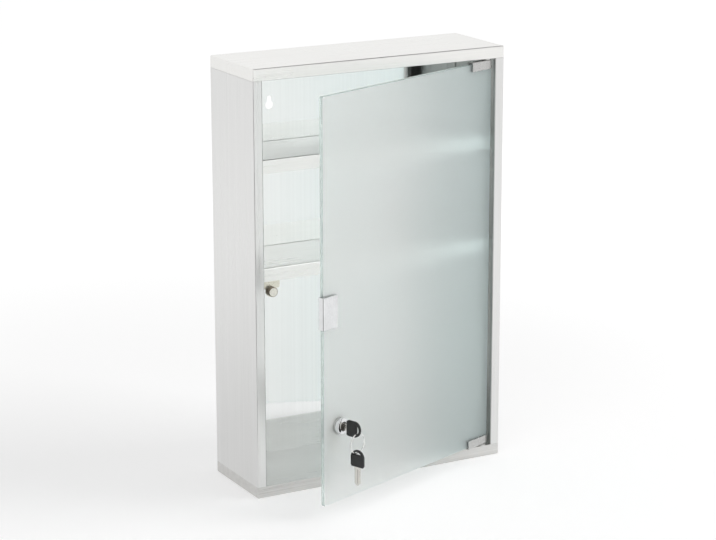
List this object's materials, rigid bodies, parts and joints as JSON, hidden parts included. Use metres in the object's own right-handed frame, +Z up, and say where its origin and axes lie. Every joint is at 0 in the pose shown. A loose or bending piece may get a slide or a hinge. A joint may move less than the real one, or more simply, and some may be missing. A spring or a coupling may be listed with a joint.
{
  "type": "medicine cabinet",
  "caption": "Wall medicine cabinet of folded stainless sheet with fixed shelves, a frosted glass door on pivot clips, a magnetic catch and a cam lock with keys.",
  "frame": {"origin": "midway between the two keyhole heads, on the rear face of the back panel", "axes": "+Z up, +Y towards the wall, the door faces -Y, +X to the right of a person facing the door"},
  "size_m": [0.3, 0.2114, 0.46],
  "materials": {
    "satin_steel": "satin stainless sheet",
    "mirror_steel": "polished stainless sheet",
    "nylon": "white nylon",
    "black_plastic": "moulded black plastic",
    "bright_magnet": "nickel-plated magnet",
    "satin_nickel": "satin nickel plate",
    "plated_steel": "zinc plated",
    "frosted_glass": "acid etched, pale green edge",
    "chrome": "polished chrome",
    "rubber": "soft black liner",
    "nickel_silver": "nickel silver"
  },
  "bodies": {
    "cabinet": {"top_cap": "satin_steel", "bottom_cap": "satin_steel", "left_side_panel": "satin_steel", "right_side_panel": "satin_steel", "back_panel": "mirror_steel", "upper_shelf": "satin_steel", "lower_shelf": "satin_steel", "upper_hinge_bush": "nylon", "lower_hinge_bush": "nylon", "catch_bracket": "satin_steel", "catch_housing": "black_plastic", "catch_magnet": "bright_magnet", "catch_rivet": "plated_steel"},
    "door": {"door_glass": "frosted_glass", "upper_hinge_clip": "satin_nickel", "lower_hinge_clip": "satin_nickel", "upper_hinge_pin": "plated_steel", "lower_hinge_pin": "plated_steel", "hinge_pads": "rubber", "hinge_set_screws": "plated_steel", "door_pull": "chrome", "pull_pad": "rubber", "pull_set_screws": "plated_steel", "lock_housing": "chrome", "lock_gasket": "rubber", "lock_washer": "plated_steel", "lock_nut": "plated_steel"},
    "lock_core": {"lock_plug": "chrome", "lock_wafers": "plated_steel", "lock_cam": "plated_steel", "cam_screw": "plated_steel"},
    "key": {"key_blade": "nickel_silver", "key_head": "black_plastic"},
    "key_ring": {"key_ring": "plated_steel"},
    "spare_key": {"spare_key_blade": "nickel_silver", "spare_key_head": "black_plastic"}
  },
  "joints": [
    {"name": "door_hinge", "type": "hinge", "parent": "cabinet", "child": "door", "pos_m": [0.13, -0.0947, -0.3885], "axis": [0, 0, 1], "range_deg": [-20.5, 89.5]},
    {"name": "lock_turn", "type": "hinge", "parent": "door", "child": "lock_core", "pos_m": [-0.09457, -0.1808, -0.304], "axis": [-0.3502, 0.9367, 0], "range_deg": [0, 90]},
    {"name": "key_slide", "type": "slide", "parent": "lock_core", "child": "key", "axis": [0.3502, -0.9367, 0], "range_m": [0, 0.024]},
    {"name": "ring_hang", "type": "hinge", "parent": "key", "child": "key_ring", "pos_m": [-0.08651, -0.20234, -0.31009], "axis": [-0.3502, 0.9367, 0], "range_deg": [-90, 0]},
    {"name": "spare_key_swing", "type": "hinge", "parent": "key_ring", "child": "spare_key", "pos_m": [-0.08651, -0.20234, -0.3285], "axis": [-0.9367, -0.3502, 0], "range_deg": [-20, 45]}
  ],
  "couplings": [
    {"joint": "ring_hang", "follows": "lock_turn", "ratio": -1}
  ]
}
